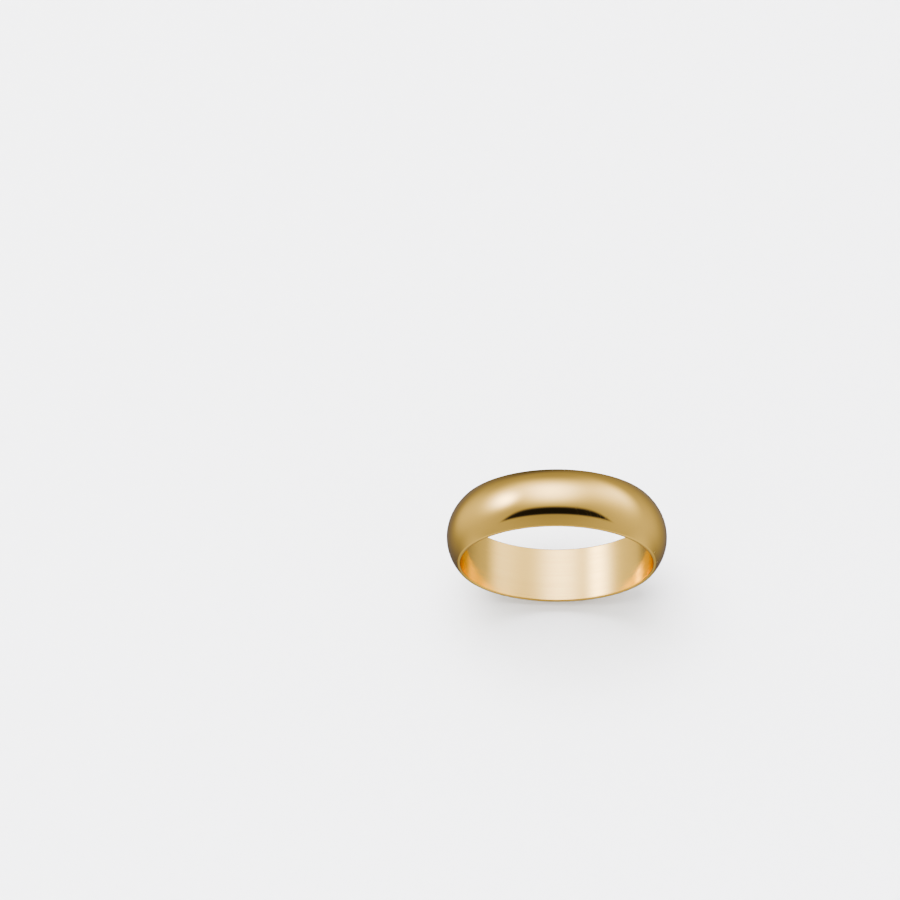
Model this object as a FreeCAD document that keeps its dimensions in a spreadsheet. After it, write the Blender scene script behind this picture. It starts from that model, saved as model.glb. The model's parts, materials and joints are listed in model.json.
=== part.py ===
import FreeCAD, Part
import math
import os
import Sketcher

# Plain half-round wedding band, in millimetres.
#
# The whole ring is one solid piece of gold. It is rolled or turned as a seamless
# hoop, so there is no joint in it, and it carries no stone, setting or fastener.
# In section it has a domed outside, a small shoulder arc that turns the dome into
# each side, a narrow flat land on each side, softened inner edges and a straight bore.
#
# Frame: the ring stands upright, its axis along Y and +Z up. The origin is the
# centre of the bore, midway between the two sides.

BAND = "band"

# Driving dimensions: alias, size, what it measures.
DRIVING_SIZES = [
    ("ring_size", 56.0, "inside circumference, which is the ring's ISO size"),
    ("band_width", 5.5, "from one side to the other, along the axis"),
    ("crown_thickness", 1.37, "metal between the bore and the top of the dome"),
    ("dome_radius", 4.06, "arc of the domed outside, in section"),
    ("shoulder_radius", 0.20, "arc between the dome and each side, in section"),
    ("inner_edge_radius", 0.10, "arc between each side and the bore, in section"),
]

# Sketcher's names for the ends of an arc or a line, its centre, and the sketch's axes.
START = 1
END = 2
CENTRE = 3
ORIGIN_POINT = (-1, 1)
VERTICAL_AXIS = -2

FULL_TURN = 360.0


def add_size_sheet(doc):
    """The spreadsheet that drives the model: one row for each size."""
    sheet = doc.addObject("Spreadsheet::Sheet", "Sizes")
    for row, (alias, size, meaning) in enumerate(DRIVING_SIZES, start=1):
        sheet.set(f"A{row}", meaning)
        sheet.set(f"B{row}", str(size))
        sheet.setAlias(f"B{row}", alias)
    doc.recompute()
    return sheet


def origin_plane(body, role):
    """One of the body's own three origin planes, found by its role."""
    planes = [item for item in body.Origin.OriginFeatures if item.Role == role]
    return planes[0]


def arc(centre_across, centre_up, radius, from_degrees, to_degrees):
    """An arc of the section, drawn anticlockwise."""
    centre = FreeCAD.Vector(centre_across, centre_up, 0)
    circle = Part.Circle(centre, FreeCAD.Vector(0, 0, 1), radius)
    return Part.ArcOfCircle(circle, math.radians(from_degrees), math.radians(to_degrees))


def line(from_across, from_up, to_across, to_up):
    """A straight stretch of the section."""
    start = FreeCAD.Vector(from_across, from_up, 0)
    end = FreeCAD.Vector(to_across, to_up, 0)
    return Part.LineSegment(start, end)


def draw_section(sketch, sheet):
    """The band's half-round section, one closed loop of five arcs and three lines.

    Across the sketch is along the ring's axis, and up the sketch is outward from it.
    """
    bore_radius = sheet.ring_size / (2 * math.pi)
    half_width = sheet.band_width / 2
    dome_radius = sheet.dome_radius
    shoulder_radius = sheet.shoulder_radius
    edge_radius = sheet.inner_edge_radius

    # The shoulder arc touches the dome's arc from inside, so the line through their
    # centres passes through the point where they meet.
    dome_centre_up = bore_radius + sheet.crown_thickness - dome_radius
    between_centres = dome_radius - shoulder_radius
    shoulder_across = half_width - shoulder_radius
    dome_half_angle = math.degrees(math.asin(shoulder_across / between_centres))
    shoulder_up = dome_centre_up + between_centres * math.cos(math.radians(dome_half_angle))
    edge_across = half_width - edge_radius
    edge_up = bore_radius + edge_radius

    crown_right = 90 - dome_half_angle
    crown_left = 90 + dome_half_angle
    dome = sketch.addGeometry(arc(0, dome_centre_up, dome_radius, crown_right, crown_left))
    right_shoulder = sketch.addGeometry(
        arc(shoulder_across, shoulder_up, shoulder_radius, 0, crown_right)
    )
    right_land = sketch.addGeometry(line(half_width, shoulder_up, half_width, edge_up))
    right_edge = sketch.addGeometry(arc(edge_across, edge_up, edge_radius, -90, 0))
    bore = sketch.addGeometry(line(edge_across, bore_radius, -edge_across, bore_radius))
    left_edge = sketch.addGeometry(arc(-edge_across, edge_up, edge_radius, 180, 270))
    left_land = sketch.addGeometry(line(-half_width, edge_up, -half_width, shoulder_up))
    left_shoulder = sketch.addGeometry(
        arc(-shoulder_across, shoulder_up, shoulder_radius, crown_left, 180)
    )

    # Each stretch runs smoothly into the next, all the way round.
    smooth_joins = [
        (dome, START, right_shoulder, END),
        (right_shoulder, START, right_land, START),
        (right_land, END, right_edge, END),
        (right_edge, START, bore, START),
        (bore, END, left_edge, END),
        (left_edge, START, left_land, START),
        (left_land, END, left_shoulder, END),
        (left_shoulder, START, dome, END),
    ]
    for join in smooth_joins:
        sketch.addConstraint(Sketcher.Constraint("Tangent", *join))

    # Both halves are alike, and both lands are flat and square to the bore.
    sketch.addConstraint(Sketcher.Constraint("PointOnObject", dome, CENTRE, VERTICAL_AXIS))
    sketch.addConstraint(Sketcher.Constraint("Symmetric", bore, START, bore, END, VERTICAL_AXIS))
    sketch.addConstraint(Sketcher.Constraint("Vertical", right_land))
    sketch.addConstraint(Sketcher.Constraint("Vertical", left_land))
    sketch.addConstraint(Sketcher.Constraint("Equal", right_shoulder, left_shoulder))
    sketch.addConstraint(Sketcher.Constraint("Equal", right_edge, left_edge))

    def bind(name, expression, constraint):
        """Add a sized constraint and tie it to the size sheet."""
        index = sketch.addConstraint(constraint)
        sketch.renameConstraint(index, name)
        sketch.setExpression(f"Constraints.{name}", expression)

    bind(
        "width_over_lands",
        "Sizes.band_width",
        Sketcher.Constraint("DistanceX", left_land, END, right_land, START, 2 * half_width),
    )
    bind(
        "bore_from_axis",
        "Sizes.ring_size / (2 * pi)",
        Sketcher.Constraint("DistanceY", *ORIGIN_POINT, bore, START, bore_radius),
    )
    bind(
        "dome_centre_from_axis",
        "Sizes.ring_size / (2 * pi) + Sizes.crown_thickness - Sizes.dome_radius",
        Sketcher.Constraint("DistanceY", *ORIGIN_POINT, dome, CENTRE, dome_centre_up),
    )
    bind(
        "dome_arc",
        "Sizes.dome_radius",
        Sketcher.Constraint("Radius", dome, dome_radius),
    )
    bind(
        "shoulder_arc",
        "Sizes.shoulder_radius",
        Sketcher.Constraint("Radius", right_shoulder, shoulder_radius),
    )
    bind(
        "inner_edge_arc",
        "Sizes.inner_edge_radius",
        Sketcher.Constraint("Radius", right_edge, edge_radius),
    )


def build_band(doc, sheet):
    """The band: its section swept once round the ring's axis."""
    body = doc.addObject("PartDesign::Body", "Band")
    body.Label = BAND
    sketch = body.newObject("Sketcher::SketchObject", "BandSection")
    sketch.AttachmentSupport = [(origin_plane(body, "YZ_Plane"), "")]
    sketch.MapMode = "FlatFace"
    draw_section(sketch, sheet)
    doc.recompute()
    if not sketch.FullyConstrained:
        raise RuntimeError("the band's section is not fully constrained")

    hoop = body.newObject("PartDesign::Revolution", "Hoop")
    hoop.Profile = sketch
    hoop.ReferenceAxis = (sketch, ["H_Axis"])
    hoop.Angle = FULL_TURN
    body.Tip = hoop
    body.Placement = FreeCAD.Placement()
    doc.recompute()
    return body


def check_model(doc, bodies):
    """Stop if any object failed to recompute or any piece is not one sound solid."""
    for item in doc.Objects:
        if "Invalid" in item.State or "Error" in item.State:
            raise RuntimeError(f"{item.Label} failed to recompute: {item.State}")
    for body in bodies:
        shape = body.Shape
        if shape.isNull() or not shape.isValid() or len(shape.Solids) != 1:
            raise RuntimeError(f"{body.Label} is not one valid solid")


def write_parts(bodies):
    """Write each piece to its own STEP file, named after its node."""
    os.makedirs("parts", exist_ok=True)
    for body in bodies:
        body.Shape.exportStep(f"parts/{body.Label}.step")
        box = body.Shape.optimalBoundingBox(False)
        print(
            f"{body.Label}: {body.Shape.Volume:.2f} mm3,"
            f" {box.XLength:.3f} x {box.YLength:.3f} x {box.ZLength:.3f} mm"
        )


document = FreeCAD.newDocument("wedding_band")
size_sheet = add_size_sheet(document)
pieces = [build_band(document, size_sheet)]
check_model(document, pieces)
write_parts(pieces)
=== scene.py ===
import json
import math

import bmesh
import bpy
from mathutils import Matrix, Vector


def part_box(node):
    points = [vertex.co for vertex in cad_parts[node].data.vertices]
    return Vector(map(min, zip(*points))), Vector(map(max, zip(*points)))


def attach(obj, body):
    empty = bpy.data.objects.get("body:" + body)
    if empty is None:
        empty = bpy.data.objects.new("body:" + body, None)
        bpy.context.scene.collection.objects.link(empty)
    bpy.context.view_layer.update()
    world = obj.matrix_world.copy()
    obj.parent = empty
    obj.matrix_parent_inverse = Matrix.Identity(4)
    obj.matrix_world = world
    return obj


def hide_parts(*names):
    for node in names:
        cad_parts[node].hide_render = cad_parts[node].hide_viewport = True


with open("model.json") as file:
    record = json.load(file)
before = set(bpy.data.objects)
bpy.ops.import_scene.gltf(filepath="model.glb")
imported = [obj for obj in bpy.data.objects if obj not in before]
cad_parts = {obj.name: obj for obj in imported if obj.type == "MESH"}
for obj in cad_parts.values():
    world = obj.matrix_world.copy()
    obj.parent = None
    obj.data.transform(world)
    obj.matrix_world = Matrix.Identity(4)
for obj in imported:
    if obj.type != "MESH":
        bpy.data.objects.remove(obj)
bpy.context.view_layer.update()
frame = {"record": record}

# ------------------------------------------------------------------------------
# The band
#
# One seamless hoop of 18 ct yellow gold. It is turned from a tube to a half-round
# section, its inner edges are softened, and it is buffed to a mirror. The bore is
# buffed with a turning mop, which leaves fine lines round the inside.
# ------------------------------------------------------------------------------

MM = 0.001

band_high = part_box("band")[1]
finger_bore = next(m for m in frame["record"]["mounts"] if m["name"] == "finger_bore")

half_width = band_high.y
bore_radius = finger_bore["dims"]["r_mm"] * MM
crown_thickness = 1.37 * MM
outer_radius = bore_radius + crown_thickness
inner_edge_radius = half_width - finger_bore["dims"]["length_mm"] * MM / 2
dome_radius = 4.06 * MM
shoulder_radius = 0.20 * MM

steps_around = 288
dome_steps = 44
shoulder_steps = 9
land_steps = 2
inner_edge_steps = 7
bore_steps = 14

light_gold = (0.93, 0.64, 0.215, 1.0)
deep_gold = (0.91, 0.615, 0.195, 1.0)
grazing_tint = (1.0, 0.93, 0.79, 1.0)

# Grains to the metre of each random pattern, before it is drawn out.
buff_line_grain = 5200
hairline_grain = 7000
hairline_patch_grain = 260
cloud_grain = 420

buff_line_stretch = 0.006
hairline_stretch = 0.025
hairline_angles = (12, 67, 139)

mirror_roughness = 0.045
cloud_roughness = 0.03
rubbed_roughness = 0.05
hairline_roughness = 0.10
bore_roughness = 0.04
buff_line_roughness = 0.12

# How high the buff lines stand and how deep the hairlines cut, in relief depths.
buff_line_height_outside = 0.1
buff_line_extra_height_inside = 4.5
hairline_cut = 0.8

relief_depth = 0.0006 * MM
relief_strength = 0.35


def arc_run(across, out, radius, start, end, steps):
    """Points of an arc of the section, each with the way its surface faces."""
    run = []
    for step in range(steps):
        angle = math.radians(start + (end - start) * step / steps)
        facing = Vector((math.sin(angle), math.cos(angle)))
        run.append((Vector((across, out)) + radius * facing, facing))
    return run


def straight_run(start, end, facing, steps):
    """Points of a straight stretch of the section, all facing one way."""
    return [
        (Vector(start).lerp(Vector(end), step / steps), Vector(facing)) for step in range(steps)
    ]


def half_round_section():
    """The closed section: distance along the axis, distance from it, and facing.

    Angles are measured from straight out, towards the back side of the band.
    """
    between_centres = dome_radius - shoulder_radius
    shoulder_across = half_width - shoulder_radius
    dome_angle = math.degrees(math.asin(shoulder_across / between_centres))
    dome_out = outer_radius - dome_radius
    shoulder_out = dome_out + between_centres * math.cos(math.radians(dome_angle))
    edge_across = half_width - inner_edge_radius
    edge_out = bore_radius + inner_edge_radius

    dome = arc_run(0, dome_out, dome_radius, -dome_angle, dome_angle, dome_steps)
    back_shoulder = arc_run(
        shoulder_across, shoulder_out, shoulder_radius, dome_angle, 90, shoulder_steps
    )
    back_land = straight_run(
        (half_width, shoulder_out), (half_width, edge_out), (1, 0), land_steps
    )
    back_edge = arc_run(edge_across, edge_out, inner_edge_radius, 90, 180, inner_edge_steps)
    bore = straight_run(
        (edge_across, bore_radius), (-edge_across, bore_radius), (0, -1), bore_steps
    )
    front_edge = arc_run(-edge_across, edge_out, inner_edge_radius, 180, 270, inner_edge_steps)
    front_land = straight_run(
        (-half_width, edge_out), (-half_width, shoulder_out), (-1, 0), land_steps
    )
    front_shoulder = arc_run(
        -shoulder_across, shoulder_out, shoulder_radius, 270, 360 - dome_angle, shoulder_steps
    )
    outside = front_shoulder + dome + back_shoulder
    return outside + back_land + back_edge + bore + front_edge + front_land


def turned_hoop(name, section, turns):
    """The section carried once round the Y axis, as one closed skin of quads."""
    mesh = bmesh.new()
    rings = []
    facings = []
    for turn in range(turns):
        angle = math.tau * turn / turns
        radial = Vector((math.sin(angle), 0, math.cos(angle)))
        ring = []
        for place, facing in section:
            ring.append(mesh.verts.new(radial * place.y + Vector((0, place.x, 0))))
            facings.append(radial * facing.y + Vector((0, facing.x, 0)))
        rings.append(ring)
    for ring, next_ring in zip(rings, rings[1:] + rings[:1]):
        for here in range(len(section)):
            after = (here + 1) % len(section)
            mesh.faces.new((ring[here], next_ring[here], next_ring[after], ring[after]))
    data = bpy.data.meshes.new(name)
    mesh.to_mesh(data)
    mesh.free()
    data.shade_smooth()
    data.normals_split_custom_set_from_vertices(facings)
    piece = bpy.data.objects.new(name, data)
    bpy.context.scene.collection.objects.link(piece)
    return piece


class Wire:
    """An output socket that takes part in sums, so that 1 - mask adds its Math node."""

    def __init__(self, socket):
        self.socket = socket
        self.tree = socket.id_data

    @staticmethod
    def node(tree, kind, settings, inputs, output=0):
        """Add any node: its settings first, then the values or links of its sockets."""
        made = tree.nodes.new(kind)
        for name, value in settings.items():
            setattr(made, name, value)
        for name, value in inputs.items():
            if isinstance(value, Wire):
                tree.links.new(value.socket, made.inputs[name])
            else:
                made.inputs[name].default_value = value
        return Wire(made.outputs[output])

    def math(self, operation, *others):
        """One Math node, with this wire first."""
        values = dict(enumerate((self, *others)))
        return Wire.node(self.tree, "ShaderNodeMath", {"operation": operation}, values)

    def __add__(self, other):
        return self.math("ADD", other)

    def __sub__(self, other):
        return self.math("SUBTRACT", other)

    def __mul__(self, other):
        return self.math("MULTIPLY", other)

    def __truediv__(self, other):
        return self.math("DIVIDE", other)

    def __rsub__(self, other):
        return self.math("MULTIPLY_ADD", -1.0, other)

    __radd__ = __add__
    __rmul__ = __mul__

    def rise(self, start, end):
        """0 at start, 1 at end, and a smooth rise from one to the other."""
        limits = {"Value": self, "From Min": start, "From Max": end}
        return Wire.node(
            self.tree, "ShaderNodeMapRange", {"interpolation_type": "SMOOTHSTEP"}, limits
        )

    def bell(self, centre, spread):
        """1 at the centre, falling away smoothly on both sides of it."""
        off = (self - centre) / spread
        return (off * off * -1.0).math("EXPONENT")

    def axes(self):
        """The X, Y and Z of a vector, as three wires."""
        split = Wire.node(self.tree, "ShaderNodeSeparateXYZ", {}, {"Vector": self})
        return [Wire(output) for output in split.socket.node.outputs]


def polished_gold():
    """18 ct yellow gold, buffed to a mirror, with the hairlines of a ring that is worn."""
    material = bpy.data.materials.new("polished_18ct_gold")
    material.use_nodes = True
    tree = material.node_tree
    place = Wire.node(tree, "ShaderNodeTexCoord", {}, {}, "Object")
    x, y, z = place.axes()
    from_axis = (x * x + z * z).math("SQRT")
    around = x.math("ARCTAN2", z) * outer_radius

    def noise(scale, detail, stretch=(1, 1, 1), turn=0.0, vector=place):
        """Soft random values, finer with scale, drawn out where stretch is small."""
        laid = Wire.node(
            tree,
            "ShaderNodeMapping",
            {"vector_type": "POINT"},
            {"Vector": vector, "Rotation": (0, 0, math.radians(turn))},
        )
        drawn = Wire.node(
            tree, "ShaderNodeVectorMath", {"operation": "MULTIPLY"}, {0: laid, 1: stretch}
        )
        inputs = {"Vector": drawn, "Scale": scale, "Detail": detail}
        return Wire.node(tree, "ShaderNodeTexNoise", {}, inputs, "Fac")

    # Fine lines round the hoop, left by the buff: clear inside, almost gone outside.
    drawn_round = (buff_line_stretch, 1, buff_line_stretch)
    buff_lines = noise(buff_line_grain, 5.0, stretch=drawn_round).rise(0.32, 0.68)
    inside = 1.0 - from_axis.rise(bore_radius + 0.02 * MM, bore_radius + 0.08 * MM)

    # Hairlines from handling, sparse and lying three ways, on the outside only.
    unrolled = Wire.node(tree, "ShaderNodeCombineXYZ", {}, {"X": around, "Y": y})
    patches = noise(hairline_patch_grain, 1.0).rise(0.40, 0.60)
    drawn_straight = (hairline_stretch, 1, 1)
    hairlines = 0.0
    for turn in hairline_angles:
        streaks = noise(hairline_grain, 1.0, stretch=drawn_straight, turn=turn, vector=unrolled)
        hairlines = streaks.rise(0.63, 0.72) + hairlines
    hairlines = hairlines * patches * (1.0 - inside)

    # The shoulders and lands are rubbed most, and lose a little of the mirror.
    rubbed = y.math("ABSOLUTE").rise(0.90 * half_width, 0.99 * half_width)
    clouds = noise(cloud_grain, 2.0)

    colour = Wire.node(
        tree,
        "ShaderNodeMix",
        {"data_type": "RGBA"},
        {"Factor": clouds, "A": light_gold, "B": deep_gold},
        "Result",
    )
    dulled = inside * (bore_roughness + buff_line_roughness * buff_lines)
    roughness = mirror_roughness + cloud_roughness * clouds + rubbed_roughness * rubbed
    roughness = roughness + hairline_roughness * hairlines + dulled

    buff_line_height = buff_line_height_outside + buff_line_extra_height_inside * inside
    relief = buff_lines * buff_line_height - hairline_cut * hairlines
    facing = Wire.node(
        tree,
        "ShaderNodeBump",
        {},
        {"Height": relief, "Strength": relief_strength, "Distance": relief_depth},
    )
    shader = tree.nodes["Principled BSDF"]
    shader.inputs["Metallic"].default_value = 1.0
    shader.inputs["Specular Tint"].default_value = grazing_tint
    tree.links.new(colour.socket, shader.inputs["Base Color"])
    tree.links.new(roughness.socket, shader.inputs["Roughness"])
    tree.links.new(facing.socket, shader.inputs["Normal"])
    return material


gold_band = turned_hoop("gold_band", half_round_section(), steps_around)
gold_band.data.materials.append(polished_gold())
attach(gold_band, "root")
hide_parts("band")

# ------------------------------------------------------------------------------
# The floor
#
# A sheet of pale matt paper that the band stands on. It sweeps up into a wall all
# round, well away from the band, so that no edge shows. The gold does not reflect it.
# ------------------------------------------------------------------------------

floor_level = -outer_radius
floor_middle_radius = 0.02
floor_flat_radius = 0.16
sweep_radius = 0.50
wall_height = 0.70
sweep_steps = 24
floor_steps_around = 96

paper_shade = (0.80, 0.80, 0.785, 1.0)
paper_highlight = (0.82, 0.82, 0.805, 1.0)
paper_tooth_grain = 900.0
paper_roughness = 0.9
paper_shine = 0.1


def paper_sweep():
    """A flat round floor, curved up at its rim into a wall."""
    mesh = bmesh.new()
    profile = [(floor_middle_radius, 0.0), (floor_flat_radius, 0.0)]
    for step in range(1, sweep_steps + 1):
        angle = math.radians(90 * step / sweep_steps)
        out = floor_flat_radius + sweep_radius * math.sin(angle)
        profile.append((out, sweep_radius * (1 - math.cos(angle))))
    profile.append((floor_flat_radius + sweep_radius, wall_height))
    centre = mesh.verts.new((0, 0, floor_level))
    spokes = []
    for turn in range(floor_steps_around):
        angle = math.tau * turn / floor_steps_around
        spokes.append(
            [
                mesh.verts.new((out * math.cos(angle), out * math.sin(angle), floor_level + up))
                for out, up in profile
            ]
        )
    for spoke, next_spoke in zip(spokes, spokes[1:] + spokes[:1]):
        mesh.faces.new((centre, spoke[0], next_spoke[0]))
        for here in range(len(profile) - 1):
            mesh.faces.new((spoke[here], spoke[here + 1], next_spoke[here + 1], next_spoke[here]))
    data = bpy.data.meshes.new("pale_floor")
    mesh.to_mesh(data)
    mesh.free()
    data.shade_smooth()
    floor = bpy.data.objects.new("pale_floor", data)
    bpy.context.scene.collection.objects.link(floor)
    return floor


def matt_paper():
    """Pale matt paper with a very faint tooth."""
    material = bpy.data.materials.new("matt_paper")
    material.use_nodes = True
    tree = material.node_tree
    place = Wire.node(tree, "ShaderNodeTexCoord", {}, {}, "Object")
    inputs = {"Vector": place, "Scale": paper_tooth_grain, "Detail": 3.0}
    tooth = Wire.node(tree, "ShaderNodeTexNoise", {}, inputs, "Fac")
    colour = Wire.node(
        tree,
        "ShaderNodeMix",
        {"data_type": "RGBA"},
        {"Factor": tooth, "A": paper_shade, "B": paper_highlight},
        "Result",
    )
    shader = tree.nodes["Principled BSDF"]
    shader.inputs["Roughness"].default_value = paper_roughness
    shader.inputs["Specular IOR Level"].default_value = paper_shine
    tree.links.new(colour.socket, shader.inputs["Base Color"])
    return material


pale_floor = paper_sweep()
pale_floor.data.materials.append(matt_paper())
pale_floor.visible_glossy = False

# ------------------------------------------------------------------------------
# The light
#
# A tent of white cloth, with a soft box above and a little behind the band, and a strip
# at each side. The camera looks in through a dark slot in the front of its roof. Dark
# cards lie below the band and low behind it, and a white card low in front.
# ------------------------------------------------------------------------------

soft_box_brightness = 2.1
left_strip_brightness = 3.0
right_strip_brightness = 1.45
cloth_brightness = 0.385
white_card_brightness = 0.50

# The share of the light that each dark part takes away.
slot_darkness = 0.92
card_below_darkness = 0.74
card_behind_darkness = 0.60

cloth_tint = (1.0, 1.0, 0.97, 1.0)
cool_tint = (0.97, 1.0, 1.40, 1.0)

lamp_size = 0.80
lamp_energy = 11.5
lamp_colour = (1.0, 0.995, 0.985)
lamp_place = (-0.14, 0.18, 0.90)

world = bpy.data.worlds.new("light_tent")
world.use_nodes = True
bpy.context.scene.world = world


def tent_light(tree):
    """The tent's brightness and colour by direction: X right, Y to the back, Z up."""
    x, y, z = Wire.node(tree, "ShaderNodeTexCoord", {}, {}, "Generated").axes()
    down = -1.0 * z
    front = -1.0 * y

    soft_box = soft_box_brightness * x.bell(-0.08, 0.50)
    soft_box = soft_box * y.rise(-0.35, 0.48) * (1.0 - y.rise(0.54, 1.03)) * z.rise(-0.05, 0.50)
    left_strip = left_strip_brightness * (x - 0.25 * y).bell(-0.835, 0.14)
    left_strip = left_strip * y.bell(0.31, 0.25) * z.rise(-0.75, 0.75)
    right_strip = right_strip_brightness * x.bell(0.94, 0.40)
    right_strip = right_strip * y.bell(0.80, 0.54) * z.rise(-0.17, 0.30)

    # The cloth is brighter towards both sides and at the very front.
    cloth = cloth_brightness + 0.02 * x + 0.24 * x * x + 0.06 * front.rise(0.5, 0.9)
    white_card = white_card_brightness * down.rise(0.0, 0.5) * front.rise(0.1, 0.6)
    white_card = white_card * (1.0 - 0.6 * x * x)

    # The slot runs from left to right, and its two long edges draw together at the ends.
    slot_front_edge = (y - 0.10 * x * x).rise(-0.575, -0.490)
    slot_back_edge = 1.0 - (y + 0.95 * (x * x).math("POWER", 3.0)).rise(-0.32, -0.17)
    slot = slot_darkness * slot_front_edge * slot_back_edge * z.rise(-0.1, 0.1)
    card_below = card_below_darkness * down.rise(0.0, 0.66) * y.bell(-0.15, 1.10)
    card_below = card_below * (0.95 - 0.95 * x * x - 0.12 * x)
    card_behind = card_behind_darkness * down.rise(-0.10, 0.30) * y.rise(0.60, 0.95)
    card_behind = card_behind * x.bell(-0.11, 0.30)

    light = cloth + soft_box + left_strip + right_strip
    light = light * (1.0 - slot) * (1.0 - card_below) * (1.0 - card_behind) + white_card

    # The brightest and the darkest parts are a little bluer than the cloth.
    coolness = light.rise(0.65, 2.1) + (1.0 - light.rise(0.08, 0.42))
    colour = Wire.node(
        tree,
        "ShaderNodeMix",
        {"data_type": "RGBA"},
        {"Factor": coolness, "A": cloth_tint, "B": cool_tint},
        "Result",
    )
    return light, colour


background = world.node_tree.nodes["Background"]
tent_brightness, tent_colour = tent_light(world.node_tree)
world.node_tree.links.new(tent_brightness.socket, background.inputs["Strength"])
world.node_tree.links.new(tent_colour.socket, background.inputs["Color"])

# One more soft lamp lights the floor and casts the band's shadow, but the gold does not
# reflect it.
floor_lamp = bpy.data.lights.new("floor_lamp", "AREA")
floor_lamp.shape = "DISK"
floor_lamp.size = lamp_size
floor_lamp.energy = lamp_energy
floor_lamp.color = lamp_colour
floor_light = bpy.data.objects.new("floor_light", floor_lamp)
floor_light.location = lamp_place
floor_light.rotation_euler = (-floor_light.location).to_track_quat("-Z", "Y").to_euler()
floor_light.visible_glossy = False
floor_light.visible_camera = False
bpy.context.scene.collection.objects.link(floor_light)

# ------------------------------------------------------------------------------
# The camera
#
# It stands in front of the band and looks steeply down on it, so the crown comes
# towards it and the opening shows as a narrow lens below.
# ------------------------------------------------------------------------------

elevation = 66.39
camera_distance = 14 * outer_radius
looks_left_of_band = 3.97
looks_above_band = 3.32
sensor_width_mm = 36.0
focal_length_mm = 61.16
nearest_seen = 0.005
farthest_seen = 5.0

lens_data = bpy.data.cameras.new("camera")
lens_data.sensor_width = sensor_width_mm
lens_data.lens = focal_length_mm
lens_data.clip_start = nearest_seen
lens_data.clip_end = farthest_seen
camera = bpy.data.objects.new("camera", lens_data)
facing_band = Matrix.Rotation(math.radians(90 - elevation), 3, "X")
turned_left = Matrix.Rotation(math.radians(looks_left_of_band), 3, "Y")
tipped_up = Matrix.Rotation(math.radians(looks_above_band), 3, "X")
camera.rotation_euler = (facing_band @ turned_left @ tipped_up).to_euler()
camera.location = facing_band @ Vector((0, 0, camera_distance))
bpy.context.scene.collection.objects.link(camera)
bpy.context.scene.camera = camera

bpy.context.scene.view_settings.view_transform = "AgX"
bpy.context.scene.view_settings.look = "AgX - High Contrast"
